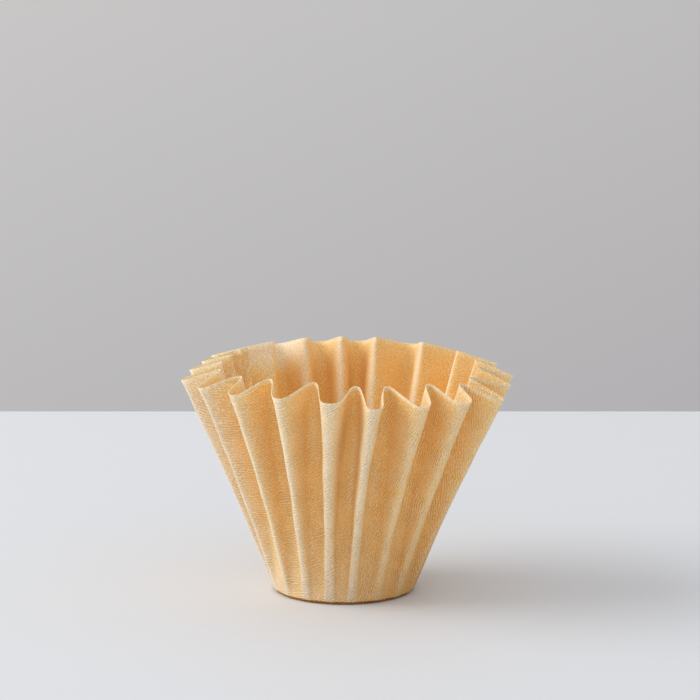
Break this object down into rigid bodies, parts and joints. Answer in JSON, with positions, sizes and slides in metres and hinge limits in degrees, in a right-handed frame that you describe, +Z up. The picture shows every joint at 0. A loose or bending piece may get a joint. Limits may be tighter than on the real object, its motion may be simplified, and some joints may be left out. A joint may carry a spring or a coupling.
{
  "type": "paper coffee filter",
  "caption": "Flat-bottomed basket coffee filter: a round sheet of unbleached paper pressed into a fluted cup that opens towards its wavy rim.",
  "frame": {"origin": "centre of the flat floor's underside, on the surface that the filter stands on", "axes": "+Z up out of the cup, -Y towards the front, +X to the right seen from the front"},
  "size_m": [0.1079, 0.1043, 0.076],
  "materials": {
    "filter_paper": "matte, creped"
  },
  "bodies": {
    "root": {"filter_paper": "filter_paper"}
  },
  "joints": []
}
